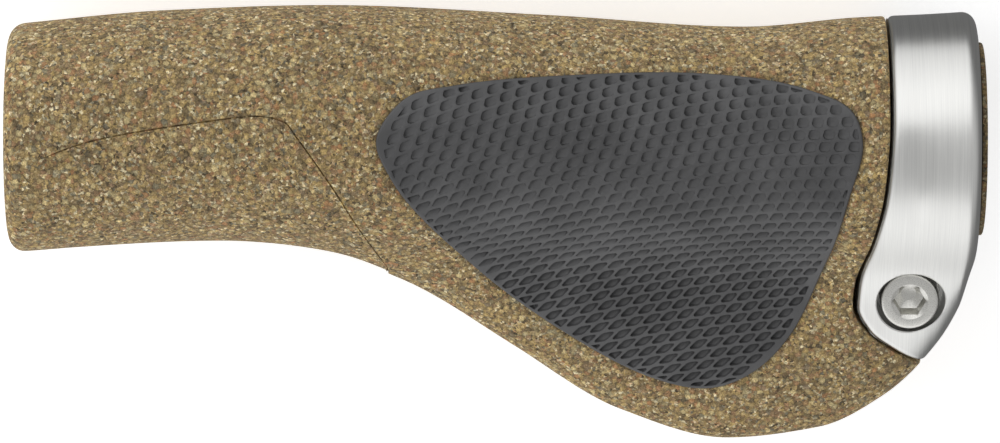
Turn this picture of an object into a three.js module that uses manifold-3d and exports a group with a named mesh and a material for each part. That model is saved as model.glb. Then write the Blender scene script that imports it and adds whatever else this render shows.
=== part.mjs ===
// A right-hand clamp-on handlebar grip with a palm wing, for a straight bicycle bar.
//
// Millimetres. The bar's axis is X: x = 0 is the inboard face, beside the brake lever, and +X
// points to the bar's end. -Y is the rider's side, where the wing is, and the clamp bolt is
// parallel to +Z. A ring's angle is measured from +Y towards +Z.

import * as THREE from "three";
import { mergeVertices } from "three/addons/utils/BufferGeometryUtils.js";
import Module from "manifold-3d";

// ---- Driving dimensions -------------------------------------------------------------------

const BAR_DIAMETER = 22.2; // the standard straight handlebar
const CLEARANCE = 0.3; // between pieces that fit each other
const ROUND = 44; // sides of a large round piece
const SMALL_ROUND = 28; // sides of a small one

const CLAMP_FACE_X = 134; // outboard face of the clamp
const INBOARD_FILLET = 2.2;
const OUTBOARD_FILLET = 2.0;

// The grip's outer form: [x, size] points with a smooth curve through them.
const FRONT_RADIUS = [
  [0, 15.9], [22, 17.9], [44, 18.6], [75, 17.2], [102, 15.6], [118, 16.9], [127, 17.3], [135, 17.8],
];
const REAR_RADIUS = [
  [0, 15.6], [30, 14], [45, 14.9], [102, 15.6], [118, 16.9], [127, 17.3], [135, 17.8],
];
const WING_REACH = [
  [0, 6], [36, 7], [54, 17.8], [70, 29.7], [85, 39.6], [100, 44],
  [113, 42.3], [122, 37.3], [128, 30.8], [132, 22.7], [134, 11],
];
const WING_ABOVE = [[0, 8], [135, 8]]; // half thickness over the bar's plane
const WING_BELOW = [[0, 6.2], [100, 6.2], [118, 9.6], [135, 9.6]]; // thicker where the nut is
const WING_SQUARENESS = 3; // superellipse exponent of the wing's edge
const TOP_BLEND = 4; // a low exponent blends tube and wing softly
const BOTTOM_BLEND = 6;

// Where the clamp meets the compound, seen from above.
const CLAMP_LINE = [
  [121.6, 30], [121.6, 8], [121, -1.5], [119.4, -11], [117.7, -18.5],
  [117.5, -22], [119.3, -26], [123, -29.2], [128, -32.6], [136, -38],
];
const CLAMP_GAP = 0.4;

// The palm pad's outline, seen from above.
const PAD_OUTLINE = [
  [51.2, 5.8], [55, 10.8], [62, 12.3], [80, 13.1], [97, 12.7], [110.5, 11.2],
  [116.2, 9], [117.7, 5], [115.9, -3], [113, -15], [108.5, -26.3], [103, -32.4],
  [97, -34.7], [89, -33], [77.8, -26.6], [66.7, -17.8], [58.5, -8], [53, 0.3],
];
const PAD_PROUD = 0.2;
const PAD_DEPTH = 1.4;

const SLEEVE = {
  boreRadius: BAR_DIAMETER / 2 + 0.1,
  outerRadius: 12.6,
  endX: 131.6,
  slotStart: 113,
  slotWidth: 2,
  slots: 4,
};
const WING_PLATE = {
  startX: 60,
  endX: 112,
  edgeMargin: 8,
  halfThickness: 2,
  holes: [[82, -21], [94, -23.5], [106, -24]],
  holeRadius: 4,
};

const BOLT = {
  x: 125,
  y: -21.2,
  threadRadius: 2.5,
  length: 12,
  underHeadZ: 3,
  headRadius: 4.25,
  headHeight: 5,
  socketAcrossFlats: 4,
  socketDepth: 2.6,
};
const COUNTERBORE_RADIUS = 4.75;
const WASHER = { outerRadius: 4.4, thickness: 0.7, gap: 0.2 };
const NUT = { acrossFlats: 8, thickness: 4.7, topZ: -3.4 };
const SLIT = { topZ: -0.5, width: 1.1 };

const PLUG = {
  stemStart: 105,
  stemRadius: 8.4,
  hollowRadius: 6.4,
  hollowEnd: 128,
  finRadius: 8.9,
  finWidth: 1,
  finSpacing: 5,
  fins: 4,
  flangeStart: 132,
  flangeEnd: 134,
  flangeRadius: 12.5,
};
const CAP = { radius: 13.4, spigotRadius: 11, spigotDepth: 1, faceX: 135 };

// ---- Curves -------------------------------------------------------------------------------

// A smooth curve through [x, value] points that never overshoots them.
function smoothThrough(points) {
  const step = (i) => points[i + 1][0] - points[i][0];
  const slope = (i) => (points[i + 1][1] - points[i][1]) / step(i);
  const tangents = points.map((_, i) => {
    if (i === 0) return slope(0);
    if (i === points.length - 1) return slope(i - 1);
    if (slope(i - 1) * slope(i) <= 0) return 0;
    const before = 2 * step(i) + step(i - 1);
    const after = step(i) + 2 * step(i - 1);
    return (before + after) / (before / slope(i - 1) + after / slope(i));
  });
  return (x) => {
    let i = points.findIndex((point) => point[0] > x) - 1;
    if (i < 0) i = x < points[0][0] ? 0 : points.length - 2;
    const t = THREE.MathUtils.clamp((x - points[i][0]) / step(i), 0, 1);
    const s = 1 - t;
    return (
      points[i][1] * (1 + 2 * t) * s * s +
      tangents[i] * step(i) * t * s * s +
      points[i + 1][1] * t * t * (3 - 2 * t) -
      tangents[i + 1] * step(i) * t * t * s
    );
  };
}

const frontRadius = smoothThrough(FRONT_RADIUS);
const rearRadius = smoothThrough(REAR_RADIUS);
const wingReach = smoothThrough(WING_REACH);
const wingAbove = smoothThrough(WING_ABOVE);
const wingBelow = smoothThrough(WING_BELOW);

// How far a rounded edge of this radius has pulled in, at a distance from the end face.
function roundedEdge(distance, radius) {
  if (distance >= radius) return 0;
  return radius - Math.sqrt(radius * radius - (radius - distance) ** 2);
}

// The outer form's distance from the bar's axis, at a station and an angle. It is a round tube
// joined softly to a flattened wing on the rear side.
function outerRadius(x, angle, inset) {
  const across = Math.cos(angle);
  const up = Math.sin(angle);
  const shrink =
    inset + roundedEdge(x, INBOARD_FILLET) + roundedEdge(CLAMP_FACE_X - x, OUTBOARD_FILLET);
  const frontShare = THREE.MathUtils.smoothstep((1 + across) / 2, 0, 1);
  const tube = THREE.MathUtils.lerp(rearRadius(x), frontRadius(x), frontShare) - shrink;
  const thickness = (up > 0 ? wingAbove(x) : wingBelow(x)) - shrink;
  const reach = wingReach(x) - shrink;
  const wing =
    (Math.abs(up / thickness) ** WING_SQUARENESS + Math.abs(across / reach) ** WING_SQUARENESS) **
    (-1 / WING_SQUARENESS);
  const topShare = THREE.MathUtils.smoothstep(up, -0.3, 0.3);
  const blend = THREE.MathUtils.lerp(BOTTOM_BLEND, TOP_BLEND, topShare);
  const wingShare = THREE.MathUtils.smoothstep(-across, -0.35, 0.35);
  return (tube ** blend + wingShare * wing ** blend) ** (1 / blend);
}

// Points [x, y] along a smooth curve through the given ones.
function curvePoints(points, closed, count) {
  const nodes = points.map(([x, y]) => new THREE.Vector3(x, y, 0));
  const curve = new THREE.CatmullRomCurve3(nodes, closed, "centripetal");
  const along = curve.getSpacedPoints(count).map((p) => [p.x, p.y]);
  if (closed) along.pop();
  return along;
}

// The same line moved sideways, to the left of its direction of travel.
function moveSideways(line, distance, closed) {
  const last = line.length - 1;
  return line.map(([x, y], i) => {
    const before = line[i > 0 ? i - 1 : closed ? last : 0];
    const after = line[i < last ? i + 1 : closed ? 0 : last];
    const along = new THREE.Vector2(after[0] - before[0], after[1] - before[1]).normalize();
    return [x - along.y * distance, y + along.x * distance];
  });
}

// ---- Solids -------------------------------------------------------------------------------

const wasm = await Module();
wasm.setup();

// A three.js geometry as a solid, turned the right way out.
function solid(geometry) {
  const bare = geometry.index ? geometry.toNonIndexed() : geometry.clone();
  bare.deleteAttribute("normal");
  bare.deleteAttribute("uv");
  const merged = mergeVertices(bare, 1e-4);
  const position = merged.getAttribute("position");
  const index = merged.getIndex().array;
  const corner = (n) => new THREE.Vector3().fromBufferAttribute(position, index[n]);
  const triangles = [];
  let volume = 0;
  for (let i = 0; i < index.length; i += 3) {
    if (new Set(index.slice(i, i + 3)).size < 3) continue;
    triangles.push(index[i], index[i + 1], index[i + 2]);
    volume += corner(i).dot(corner(i + 1).cross(corner(i + 2)));
  }
  if (volume < 0) triangles.reverse();
  return new wasm.Manifold(
    new wasm.Mesh({
      numProp: 3,
      vertProperties: new Float32Array(position.array),
      triVerts: new Uint32Array(triangles),
    }),
  );
}

// A named mesh of a solid.
function piece(name, shape, material) {
  const mesh = shape.getMesh();
  const geometry = new THREE.BufferGeometry();
  geometry.setAttribute("position", new THREE.BufferAttribute(mesh.vertProperties, 3));
  geometry.setIndex(new THREE.BufferAttribute(mesh.triVerts, 1));
  geometry.computeVertexNormals();
  const object = new THREE.Mesh(geometry, material);
  object.name = name;
  return object;
}

// A solid turned on the bar's axis from [radius, x] points. The first and last lie on the axis.
function turned(profile, sides = ROUND) {
  const points = profile.map(([radius, x]) => new THREE.Vector2(radius, x));
  return solid(new THREE.LatheGeometry(points, sides).rotateZ(-Math.PI / 2));
}

function rod(radius, startX, endX, sides = ROUND) {
  return turned([[0, startX], [radius, startX], [radius, endX], [0, endX]], sides);
}

// An upright prism from an outline [x, y], between two heights.
function prism(outline, bottomZ, topZ) {
  const shape = new THREE.Shape(outline.map(([x, y]) => new THREE.Vector2(x, y)));
  const options = { depth: topZ - bottomZ, bevelEnabled: false };
  return solid(new THREE.ExtrudeGeometry(shape, options).translate(0, 0, bottomZ));
}

// An upright cylinder, or a hexagonal prism, on the bolt's axis or at another place.
function post(radius, bottomZ, topZ, sides = SMALL_ROUND, place = [BOLT.x, BOLT.y]) {
  const height = topZ - bottomZ;
  const geometry = new THREE.CylinderGeometry(radius, radius, height, sides).rotateX(Math.PI / 2);
  return solid(geometry.translate(place[0], place[1], bottomZ + height / 2));
}

function hexagon(acrossFlats, bottomZ, topZ) {
  return post(acrossFlats / Math.sqrt(3), bottomZ, topZ, 6);
}

function box(centre, size) {
  return solid(new THREE.BoxGeometry(...size).translate(...centre));
}

// Stations along the grip, closer together where its form turns in at the ends.
function stations() {
  const middle = [];
  for (let x = 5; x < 112; x += 5) middle.push(x);
  const clampEnd = [];
  for (let x = 114; x < 131.5; x += 2.5) clampEnd.push(x);
  return [0, 0.3, 1, 2.2, ...middle, ...clampEnd, 132, 132.6, 133.2, 133.7, CLAMP_FACE_X];
}

// The grip's whole outer form as one solid, moved inwards by an inset.
function outerForm(inset = 0) {
  const sides = 44;
  const along = stations();
  const vertices = [];
  const triangles = [];
  for (const x of along) {
    for (let j = 0; j < sides; j++) {
      // Angles crowd towards the wing's edge, where the form is furthest from the axis.
      const even = (j / sides) * 2 * Math.PI;
      const angle = even + 0.45 * Math.sin(even);
      const radius = outerRadius(x, angle, inset);
      vertices.push(x, radius * Math.cos(angle), radius * Math.sin(angle));
    }
  }
  for (let i = 0; i + 1 < along.length; i++) {
    for (let j = 0; j < sides; j++) {
      const here = i * sides + j;
      const next = i * sides + ((j + 1) % sides);
      triangles.push(here, here + sides, next, next, here + sides, next + sides);
    }
  }
  for (const [ring, x] of [[0, along[0]], [along.length - 1, along[along.length - 1]]]) {
    const centre = vertices.length / 3;
    vertices.push(x, 0, 0);
    for (let j = 0; j < sides; j++) {
      const here = ring * sides + j;
      const next = ring * sides + ((j + 1) % sides);
      triangles.push(...(ring === 0 ? [centre, here, next] : [centre, next, here]));
    }
  }
  const geometry = new THREE.BufferGeometry();
  geometry.setAttribute("position", new THREE.Float32BufferAttribute(vertices, 3));
  geometry.setIndex(triangles);
  return solid(geometry);
}

// ---- Materials ----------------------------------------------------------------------------

const corkCompound = new THREE.MeshStandardMaterial({ color: 0x98826a, roughness: 0.85 });
const blackRubber = new THREE.MeshStandardMaterial({ color: 0x303032, roughness: 0.7 });
const brushedAluminium = new THREE.MeshStandardMaterial({
  color: 0xc9cbcd,
  roughness: 0.35,
  metalness: 1,
});
const steel = new THREE.MeshStandardMaterial({ color: 0xa5a7a9, roughness: 0.3, metalness: 1 });
const blackNylon = new THREE.MeshStandardMaterial({ color: 0x1c1c1e, roughness: 0.55 });

// ---- Sub-parts ----------------------------------------------------------------------------

// The prism of everything on one side of the clamp line.
function besideClampLine(inboard) {
  const line = curvePoints(CLAMP_LINE, false, 40);
  const halfGap = inboard ? -CLAMP_GAP / 2 : CLAMP_GAP / 2;
  const edge = moveSideways(line, halfGap, false);
  const [first, last] = [edge[0], edge[edge.length - 1]];
  const farX = inboard ? -10 : CLAMP_FACE_X + 10;
  const lowY = Math.min(last[1], -60);
  const outline = [...edge, [last[0], lowY], [farX, lowY], [farX, first[1]]];
  return prism(outline, -40, 40);
}

// The wing plate's outline: the wing's own edge moved in, and straight along the sleeve.
function wingPlateOutline(grow) {
  const outline = [];
  const steps = 16;
  const [startX, endX] = [WING_PLATE.startX - grow, WING_PLATE.endX + grow];
  for (let i = 0; i <= steps; i++) {
    const x = startX + ((endX - startX) * i) / steps;
    outline.push([x, WING_PLATE.edgeMargin - grow - wingReach(x)]);
  }
  return [...outline, [endX, -8], [startX, -8]];
}

// The sleeve's outside with its wing plate, grown by a clearance to cut a seat for it.
function sleeveOutside(grow) {
  const plate = prism(
    wingPlateOutline(grow),
    -WING_PLATE.halfThickness - grow,
    WING_PLATE.halfThickness + grow,
  );
  const keys = WING_PLATE.holes.map((place) =>
    post(WING_PLATE.holeRadius - grow, -10, 10, SMALL_ROUND, place),
  );
  const startX = grow > 0 ? -1 : 0;
  const endX = grow > 0 ? SLEEVE.endX + 5 : SLEEVE.endX;
  return keys
    .reduce((shape, key) => shape.subtract(key), plate)
    .add(rod(SLEEVE.outerRadius + grow, startX, endX));
}

function coreSleeve() {
  let shape = sleeveOutside(0).subtract(rod(SLEEVE.boreRadius, -1, SLEEVE.endX + 1));
  const slotLength = SLEEVE.endX - SLEEVE.slotStart + 2;
  for (let i = 0; i < SLEEVE.slots; i++) {
    const angle = Math.PI / 4 + (i * 2 * Math.PI) / SLEEVE.slots;
    const size = [slotLength, 2 * SLEEVE.outerRadius, SLEEVE.slotWidth];
    const slot = new THREE.BoxGeometry(...size)
      .translate(SLEEVE.slotStart + slotLength / 2, SLEEVE.outerRadius, 0)
      .rotateX(angle);
    shape = shape.subtract(solid(slot));
  }
  return piece("core_sleeve", shape, blackNylon);
}

// The space above the bar's plane that the palm pad's outline covers.
function abovePadOutline(grow) {
  const outline = moveSideways(curvePoints(PAD_OUTLINE, true, 72), grow, true);
  return prism(outline, 0, 40);
}

function gripBody() {
  const pocketFloor = outerForm(PAD_DEPTH + CLEARANCE);
  const padPocket = abovePadOutline(CLEARANCE).subtract(pocketFloor);
  const shape = outerForm()
    .intersect(besideClampLine(true))
    .subtract(sleeveOutside(CLEARANCE))
    .subtract(padPocket);
  return piece("grip_body", shape, corkCompound);
}

function palmPad() {
  const shape = abovePadOutline(0)
    .intersect(outerForm(-PAD_PROUD))
    .subtract(outerForm(PAD_DEPTH));
  return piece("palm_pad", shape, blackRubber);
}

function clamp() {
  const washerSeatZ = BOLT.underHeadZ - WASHER.gap - WASHER.thickness - WASHER.gap;
  const boltHoleRadius = BOLT.threadRadius + CLEARANCE;
  const slitLength = 60;
  const slit = box(
    [CLAMP_FACE_X, -slitLength / 2, SLIT.topZ - SLIT.width / 2],
    [40, slitLength, SLIT.width],
  );
  const shape = outerForm()
    .intersect(besideClampLine(false))
    .subtract(rod(SLEEVE.outerRadius + CLEARANCE, 100, CLAMP_FACE_X + 1))
    .subtract(slit)
    .subtract(post(COUNTERBORE_RADIUS, washerSeatZ, 30))
    .subtract(post(boltHoleRadius, -30, 30))
    .subtract(hexagon(NUT.acrossFlats + 2 * CLEARANCE, -30, NUT.topZ + CLEARANCE));
  return piece("clamp", shape, brushedAluminium);
}

function clampBolt() {
  const { underHeadZ, headHeight, threadRadius, length } = BOLT;
  const topZ = underHeadZ + headHeight;
  const shape = post(BOLT.headRadius, underHeadZ, topZ)
    .add(post(threadRadius, underHeadZ - length, underHeadZ + 1, SMALL_ROUND))
    .subtract(hexagon(BOLT.socketAcrossFlats, topZ - BOLT.socketDepth, topZ + 1));
  return piece("clamp_bolt", shape, steel);
}

function boltWasher() {
  const topZ = BOLT.underHeadZ - WASHER.gap;
  const shape = post(WASHER.outerRadius, topZ - WASHER.thickness, topZ).subtract(
    post(BOLT.threadRadius + CLEARANCE, topZ - 2, topZ + 1),
  );
  return piece("bolt_washer", shape, steel);
}

function clampNut() {
  const shape = hexagon(NUT.acrossFlats, NUT.topZ - NUT.thickness, NUT.topZ).subtract(
    post(BOLT.threadRadius + CLEARANCE, NUT.topZ - 10, NUT.topZ + 1),
  );
  return piece("clamp_nut", shape, steel);
}

function plugBody() {
  const stem = [];
  for (let i = 0; i < PLUG.fins; i++) {
    const startX = PLUG.stemStart + PLUG.finSpacing * (i + 0.5);
    const endX = startX + PLUG.finWidth;
    stem.push([PLUG.stemRadius, startX], [PLUG.finRadius, startX]);
    stem.push([PLUG.finRadius, endX], [PLUG.stemRadius, endX]);
  }
  const seatRadius = CAP.spigotRadius + CLEARANCE;
  const seatX = PLUG.flangeEnd - CAP.spigotDepth;
  const shape = turned(
    [
      [0, PLUG.hollowEnd],
      [PLUG.hollowRadius, PLUG.hollowEnd],
      [PLUG.hollowRadius, PLUG.stemStart],
      [PLUG.stemRadius, PLUG.stemStart],
      ...stem,
      [PLUG.stemRadius, PLUG.flangeStart],
      [PLUG.flangeRadius, PLUG.flangeStart],
      [PLUG.flangeRadius, PLUG.flangeEnd],
      [seatRadius, PLUG.flangeEnd],
      [seatRadius, seatX],
      [0, seatX],
    ],
    SMALL_ROUND,
  );
  return piece("plug_body", shape, blackNylon);
}

function endCap() {
  const discX = PLUG.flangeEnd + CLEARANCE;
  const spigotX = PLUG.flangeEnd - CAP.spigotDepth + CLEARANCE;
  const shape = turned([
    [0, spigotX],
    [CAP.spigotRadius, spigotX],
    [CAP.spigotRadius, discX],
    [CAP.radius, discX],
    [CAP.radius, CAP.faceX],
    [0, CAP.faceX],
  ]);
  return piece("end_cap", shape, corkCompound);
}

// ---- Assembly -----------------------------------------------------------------------------

const grip = new THREE.Group();
grip.add(coreSleeve(), gripBody(), palmPad());
grip.add(clamp(), clampBolt(), boltWasher(), clampNut());
grip.add(plugBody(), endCap());

export default grip;
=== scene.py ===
"""The winged handlebar grip's looks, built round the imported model. Lengths here are millimetres,
in the model's own frame, until mesh_piece() turns them into metres."""

import math

import bpy
import numpy as np
from mathutils import Matrix, Vector, geometry, kdtree
from numpy.linalg import norm

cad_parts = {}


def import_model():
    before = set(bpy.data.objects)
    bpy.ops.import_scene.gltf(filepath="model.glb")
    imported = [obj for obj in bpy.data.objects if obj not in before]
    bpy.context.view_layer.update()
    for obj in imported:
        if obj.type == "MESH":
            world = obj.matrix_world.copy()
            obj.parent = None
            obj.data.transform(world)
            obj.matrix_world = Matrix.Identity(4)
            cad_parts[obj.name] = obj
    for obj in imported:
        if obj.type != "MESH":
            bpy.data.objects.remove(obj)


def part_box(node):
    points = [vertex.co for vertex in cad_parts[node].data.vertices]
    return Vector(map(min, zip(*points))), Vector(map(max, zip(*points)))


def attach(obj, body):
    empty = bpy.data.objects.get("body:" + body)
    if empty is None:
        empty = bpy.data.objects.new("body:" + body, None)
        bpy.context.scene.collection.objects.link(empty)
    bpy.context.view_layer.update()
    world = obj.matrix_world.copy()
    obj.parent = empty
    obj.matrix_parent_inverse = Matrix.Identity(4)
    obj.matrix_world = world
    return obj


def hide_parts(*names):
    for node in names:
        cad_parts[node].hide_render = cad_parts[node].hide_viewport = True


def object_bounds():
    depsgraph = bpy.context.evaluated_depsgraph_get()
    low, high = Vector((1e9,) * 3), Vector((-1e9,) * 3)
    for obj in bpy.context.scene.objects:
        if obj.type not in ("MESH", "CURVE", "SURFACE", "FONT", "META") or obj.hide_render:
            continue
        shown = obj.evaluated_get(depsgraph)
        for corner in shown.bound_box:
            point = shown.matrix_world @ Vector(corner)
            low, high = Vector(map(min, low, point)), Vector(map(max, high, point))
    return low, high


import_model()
cad_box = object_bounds()

MM = 0.001
TAU = 2 * math.pi


def box_mm(node):
    low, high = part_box(node)
    return np.array(low) / MM, np.array(high) / MM


# ---- The grip's form, as the model has it ----

CLAMP_FACE_X = box_mm("clamp")[1][0]
INBOARD_FILLET = 2.2
OUTBOARD_FILLET = 2.0

CLAMP_RADIUS = [(102, 15.6), (118, 16.9), (127, 17.3), (135, 17.8)]
FRONT_RADIUS = [(0, 15.9), (22, 17.9), (44, 18.6), (75, 17.2), *CLAMP_RADIUS]
REAR_RADIUS = [(0, 15.6), (30, 14), (45, 14.9), *CLAMP_RADIUS]
WING_REACH = [
    (0, 6), (36, 7), (54, 17.8), (70, 29.7), (85, 39.6), (100, 44),
    (113, 42.3), (122, 37.3), (128, 30.8), (132, 22.7), (134, 11),
]
WING_ABOVE = 8.0
WING_BELOW = [(0, 6.2), (100, 6.2), (118, 9.6), (135, 9.6)]
WING_SQUARENESS = 3
TOP_BLEND = 4
BOTTOM_BLEND = 6

# Where the clamp meets the compound: (y, x) from the front to the wing's corner.
CLAMP_LINE = [
    (-38, 136), (-32.6, 128), (-29.2, 123), (-26, 119.3), (-22, 117.5), (-18.5, 117.7),
    (-11, 119.4), (-1.5, 121), (8, 121.6), (30, 121.6),
]
CLAMP_GAP = 0.4

PAD_OUTLINE = [
    (51.2, 5.8), (55, 10.8), (62, 12.3), (80, 13.1), (97, 12.7), (110.5, 11.2),
    (116.2, 9), (117.7, 5), (115.9, -3), (113, -15), (108.5, -26.3), (103, -32.4),
    (97, -34.7), (89, -33), (77.8, -26.6), (66.7, -17.8), (58.5, -8), (53, 0.3),
]
PAD_PROUD = 0.2

BOLT_X, BOLT_Y = (float(v) for v in (box_mm("clamp_bolt")[0] + box_mm("clamp_bolt")[1])[:2] / 2)
BOLT_TOP = box_mm("clamp_bolt")[1][2]
SLEEVE_RADIUS = box_mm("core_sleeve")[1][2]
SLEEVE_SEAT = SLEEVE_RADIUS + 0.3
SLEEVE_END = box_mm("core_sleeve")[1][0]
BORE_RADIUS = 11.2


def smooth_through(points):
    """A curve through (x, value) points that never overshoots them."""
    xs, ys = (np.array(v, float) for v in zip(*points))
    step = np.diff(xs)
    slope = np.diff(ys) / step
    tangent = np.zeros(len(xs))
    tangent[0], tangent[-1] = slope[0], slope[-1]
    for i in range(1, len(xs) - 1):
        if slope[i - 1] * slope[i] > 0:
            before, after = 2 * step[i] + step[i - 1], step[i] + 2 * step[i - 1]
            tangent[i] = (before + after) / (before / slope[i - 1] + after / slope[i])

    def value(x):
        x = np.asarray(x, float)
        i = np.clip(np.searchsorted(xs, x, side="right") - 1, 0, len(step) - 1)
        t = np.clip((x - xs[i]) / step[i], 0, 1)
        s = 1 - t
        return (
            ys[i] * (1 + 2 * t) * s * s
            + tangent[i] * step[i] * t * s * s
            + ys[i + 1] * t * t * (3 - 2 * t)
            - tangent[i + 1] * step[i] * t * t * s
        )

    return value


def smoothstep(value, low=0.0, high=1.0):
    t = np.clip((value - low) / (high - low), 0, 1)
    return t * t * (3 - 2 * t)


front_radius = smooth_through(FRONT_RADIUS)
rear_radius = smooth_through(REAR_RADIUS)
wing_reach = smooth_through(WING_REACH)
wing_below = smooth_through(WING_BELOW)
clamp_line_x = smooth_through(CLAMP_LINE)


def compound_end_x(y):
    """Where the compound stops, a little further from the clamp round the ear."""
    return clamp_line_x(y) - CLAMP_GAP / 2 - 0.26 * np.exp(-(((y + 20) / 5.5) ** 2))


def clamp_start_x(y):
    return clamp_line_x(y) + CLAMP_GAP / 2


def rounded_edge(distance, radius):
    """How far a rounded edge has pulled in, at a distance from the face that it meets."""
    d = np.clip(distance, 0, radius)
    return radius - np.sqrt(np.maximum(radius * radius - (radius - d) ** 2, 0))


def outer_radius(x, angle):
    """The outer form's distance from the bar's axis, at a station and an angle from +Y to +Z."""
    across, up = np.cos(angle), np.sin(angle)
    shrink = rounded_edge(x, INBOARD_FILLET) + rounded_edge(CLAMP_FACE_X - x, OUTBOARD_FILLET)
    front_share = smoothstep((1 + across) / 2)
    tube = rear_radius(x) + (front_radius(x) - rear_radius(x)) * front_share - shrink
    thickness = np.where(up > 0, WING_ABOVE, wing_below(x)) - shrink
    reach = wing_reach(x) - shrink
    wing = (
        np.abs(up / thickness) ** WING_SQUARENESS + np.abs(across / reach) ** WING_SQUARENESS
    ) ** (-1 / WING_SQUARENESS)
    blend = BOTTOM_BLEND + (TOP_BLEND - BOTTOM_BLEND) * smoothstep(up, -0.3, 0.3)
    wing_share = smoothstep(-across, -0.35, 0.35)
    return (tube**blend + wing_share * wing**blend) ** (1 / blend)


def outer_point(x, angle):
    x, angle = np.broadcast_arrays(np.asarray(x, float), np.asarray(angle, float))
    radius = outer_radius(x, angle)
    return np.stack([x, radius * np.cos(angle), radius * np.sin(angle)], -1)


def outer_normal(x, angle):
    """The outer form's outward direction, from small steps along it."""
    small = 1e-3
    along = outer_point(x + small, angle) - outer_point(x - small, angle)
    around = outer_point(x, angle + small) - outer_point(x, angle - small)
    normal = np.cross(around, along)
    return normal / norm(normal, axis=-1, keepdims=True)


def last_true(test, low, high):
    """The last values between low and high for which the test holds."""
    for _ in range(40):
        middle = (low + high) / 2
        holds = test(middle)
        low, high = np.where(holds, middle, low), np.where(holds, high, middle)
    return (low + high) / 2


def angle_over(x, y, side=1):
    """The angle of the point of the upper (or, with side -1, the lower) surface at (x, y)."""

    def further(angle):
        return outer_radius(x, side * angle) * np.cos(angle) > y

    return side * last_true(further, np.zeros(np.shape(y)), np.full(np.shape(y), math.pi))


def run(line):
    """The distance along a line to each of its points."""
    return np.r_[0, np.cumsum(norm(np.diff(line, axis=0), axis=1))]


def even_angles(count, stations):
    """Angles all round, spaced so that their points lie evenly along the outer form."""
    fine = np.linspace(-math.pi / 2, 1.5 * math.pi, 4001)
    share = np.zeros(len(fine))
    for x in stations:
        length = run(outer_point(x, fine))
        share += length / length[-1] / len(stations)
    return np.interp(np.arange(count) / count, share, fine)


def resampled(loop, count):
    """Evenly spaced points of a closed line."""
    line = np.vstack([loop, loop[:1]])
    length = run(line)
    even = np.arange(count) / count * length[-1]
    return np.stack([np.interp(even, length, line[:, k]) for k in range(2)], -1)


def closed_curve(points, count):
    """Evenly spaced points of a smooth closed curve through the given ones."""
    p = np.array(points, float)
    t = np.linspace(0, 1, 24, endpoint=False)[:, None]
    pieces = []
    for i in range(len(p)):
        a, b, c, d = p[i - 1], p[i], p[(i + 1) % len(p)], p[(i + 2) % len(p)]
        knots = [norm(v) ** 0.5 for v in (b - a, c - b, d - c)]
        out = (b - a) / knots[0] - (c - a) / (knots[0] + knots[1]) + (c - b) / knots[1]
        back = (c - b) / knots[1] - (d - b) / (knots[1] + knots[2]) + (d - c) / knots[2]
        out, back = out * knots[1], back * knots[1]
        pieces.append(
            b * (1 - 3 * t**2 + 2 * t**3)
            + out * (t - 2 * t**2 + t**3)
            + c * (3 * t**2 - 2 * t**3)
            + back * (t**3 - t**2)
        )
    return resampled(np.concatenate(pieces), count)


def inside_outline(points, outline):
    """True for each point [x, y] inside a closed outline."""
    x, y = points[:, 0], points[:, 1]
    inside = np.zeros(len(points), bool)
    for a, b in zip(outline, np.roll(outline, -1, 0)):
        crosses = (a[1] > y) != (b[1] > y)
        if crosses.any():
            at = a[0] + (y - a[1]) / (b[1] - a[1] + 1e-30) * (b[0] - a[0])
            inside ^= crosses & (x < at)
    return inside


def tree_of(points):
    tree = kdtree.KDTree(len(points))
    for i, p in enumerate(points):
        tree.insert(p, i)
    tree.balance()
    return tree


def nearest_distance(points, line):
    """How far each point is from the nearest point of a line."""
    tree = tree_of(line)
    return np.array([tree.find(p)[2] for p in points])


# ---- Meshes ----


def new_object(name, data):
    obj = bpy.data.objects.new(name, data)
    bpy.context.collection.objects.link(obj)
    return obj


def mesh_piece(name, points, faces):
    mesh = bpy.data.meshes.new(name)
    mesh.from_pydata((np.asarray(points) * MM).tolist(), [], [list(f) for f in faces])
    mesh.validate()
    return new_object(name, mesh)


def grid_faces(rows, columns, close_rows=False):
    """Quads of a grid whose columns run all the way round."""
    faces = []
    for i in range(rows if close_rows else rows - 1):
        this, after = i * columns, ((i + 1) % rows) * columns
        for j in range(columns):
            k = (j + 1) % columns
            faces.append((this + j, this + k, after + k, after + j))
    return faces


def ring_stack(name, rings, capped=False, closed=False):
    """A skin over rings of points. Its ends are open, capped by fans, or closed on each other."""
    rings = [np.asarray(r, float) for r in rings]
    rows, columns = len(rings), len(rings[0])
    points = np.concatenate(rings)
    faces = grid_faces(rows, columns, closed)
    for first in (0, (rows - 1) * columns) if capped else ():
        points = np.vstack([points, points[first : first + columns].mean(0)])
        middle = len(points) - 1
        for j in range(columns):
            pair = (first + j, first + (j + 1) % columns)
            faces.append((middle, *(pair if first else pair[::-1])))
    return mesh_piece(name, points, faces)


def full_turn(columns):
    return np.arange(columns) / columns * TAU


def turned(name, profile, columns, closed=False):
    """A piece turned on the bar's axis from (radius, x) points."""
    angle = full_turn(columns)
    rings = [
        np.stack([np.full(columns, x), r * np.cos(angle), r * np.sin(angle)], -1)
        for r, x in profile
    ]
    return ring_stack(name, rings, capped=not closed, closed=closed)


def posts(profile, columns, centre=(BOLT_X, BOLT_Y)):
    """Rings about an upright axis from (radius, z) points. Either may be a function of angle."""
    angle = full_turn(columns)
    rings = []
    for r, z in profile:
        r = r(angle) if callable(r) else np.full(columns, float(r))
        z = z(angle) if callable(z) else np.full(columns, float(z))
        x, y = centre[0] + r * np.cos(angle), centre[1] + r * np.sin(angle)
        rings.append(np.stack([x, y, z], -1))
    return rings


def post(name, profile, columns, centre=(BOLT_X, BOLT_Y)):
    return ring_stack(name, posts(profile, columns, centre), capped=True)


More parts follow.
